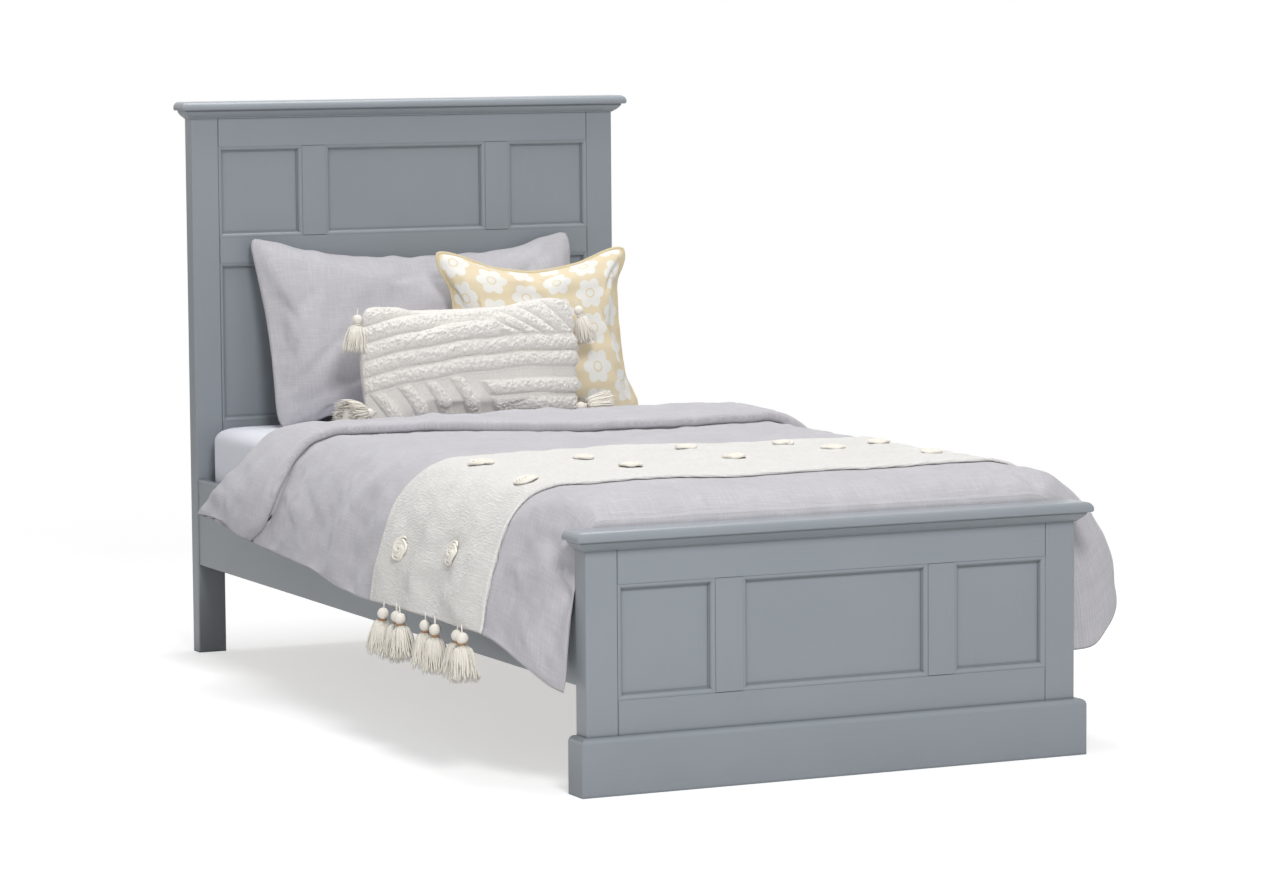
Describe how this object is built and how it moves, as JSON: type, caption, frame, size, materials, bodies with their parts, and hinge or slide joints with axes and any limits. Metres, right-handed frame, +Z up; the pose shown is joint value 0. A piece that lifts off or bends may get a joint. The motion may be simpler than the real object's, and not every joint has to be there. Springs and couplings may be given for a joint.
{
  "type": "panel bed",
  "caption": "Single bed with panelled headboard and footboard, moulded caps, slatted base, and mattress, duvet, tasselled throw and cushions laid on it.",
  "frame": {"origin": "on the floor, under the middle of the bed's whole outline", "axes": "+Z up, +Y from the footboard to the headboard, +X to the right of someone who looks at the bed from the foot"},
  "size_m": [1.2436, 2.009, 1.15],
  "materials": {
    "grey_paint": "satin",
    "bare_wood": "matte",
    "zinc_steel": "satin",
    "webbing": "matte",
    "mattress_cover": "matte",
    "white_cotton": "matte",
    "grey_linen": "matte",
    "cream_weave": "matte",
    "cream_yarn": "matte",
    "printed_cotton": "matte",
    "white_tufting": "matte"
  },
  "bodies": {
    "frame": {"footboard_bottom_rail": "grey_paint", "footboard_cap": "grey_paint", "footboard_crown_moulding": "grey_paint", "footboard_moulding_left": "grey_paint", "footboard_moulding_middle": "grey_paint", "footboard_moulding_right": "grey_paint", "footboard_panel_left": "grey_paint", "footboard_panel_middle": "grey_paint", "footboard_panel_right": "grey_paint", "footboard_plinth": "grey_paint", "footboard_post_left": "grey_paint", "footboard_post_right": "grey_paint", "footboard_stile_left": "grey_paint", "footboard_stile_right": "grey_paint", "footboard_top_rail": "grey_paint", "headboard_bottom_rail": "grey_paint", "headboard_cap": "grey_paint", "headboard_crown_moulding": "grey_paint", "headboard_lower_moulding_left": "grey_paint", "headboard_lower_moulding_middle": "grey_paint", "headboard_lower_moulding_right": "grey_paint", "headboard_lower_panel_left": "grey_paint", "headboard_lower_panel_middle": "grey_paint", "headboard_lower_panel_right": "grey_paint", "headboard_lower_stile_left": "grey_paint", "headboard_lower_stile_right": "grey_paint", "headboard_middle_rail": "grey_paint", "headboard_post_left": "grey_paint", "headboard_post_right": "grey_paint", "headboard_top_rail": "grey_paint", "headboard_upper_moulding_left": "grey_paint", "headboard_upper_moulding_middle": "grey_paint", "headboard_upper_moulding_right": "grey_paint", "headboard_upper_panel_left": "grey_paint", "headboard_upper_panel_middle": "grey_paint", "headboard_upper_panel_right": "grey_paint", "headboard_upper_stile_left": "grey_paint", "headboard_upper_stile_right": "grey_paint", "ledge_screws": "zinc_steel", "plate_screws": "zinc_steel", "post_slot_plates": "zinc_steel", "rail_hook_plates": "zinc_steel", "side_rail_left": "grey_paint", "side_rail_right": "grey_paint", "slat_ledge_left": "bare_wood", "slat_ledge_right": "bare_wood", "slat_tapes": "webbing", "slats": "bare_wood"},
    "mattress": {"mattress": "mattress_cover", "fitted_sheet": "white_cotton"},
    "duvet": {"duvet": "grey_linen"},
    "throw": {"throw": "cream_weave", "throw_tassels": "cream_yarn"},
    "pillow": {"pillow": "grey_linen"},
    "print_cushion": {"print_cushion": "printed_cotton"},
    "tufted_cushion": {"tufted_cushion": "white_tufting", "cushion_tassels": "cream_yarn"}
  },
  "joints": [
    {"name": "mattress_lift", "type": "slide", "parent": "frame", "child": "mattress", "axis": [0, 0, 1], "range_m": [0, 0.12]},
    {"name": "duvet_lift", "type": "slide", "parent": "mattress", "child": "duvet", "axis": [0, 0, 1], "range_m": [0, 0.32]},
    {"name": "throw_lift", "type": "slide", "parent": "duvet", "child": "throw", "axis": [0, 0, 1], "range_m": [0, 0.35]},
    {"name": "pillow_lift", "type": "slide", "parent": "mattress", "child": "pillow", "axis": [0, 0, 1], "range_m": [0, 0.12]},
    {"name": "print_cushion_lift", "type": "slide", "parent": "pillow", "child": "print_cushion", "axis": [0, 0, 1], "range_m": [0, 0.4]},
    {"name": "tufted_cushion_lift", "type": "slide", "parent": "print_cushion", "child": "tufted_cushion", "axis": [0, 0, 1], "range_m": [0, 0.36]}
  ]
}
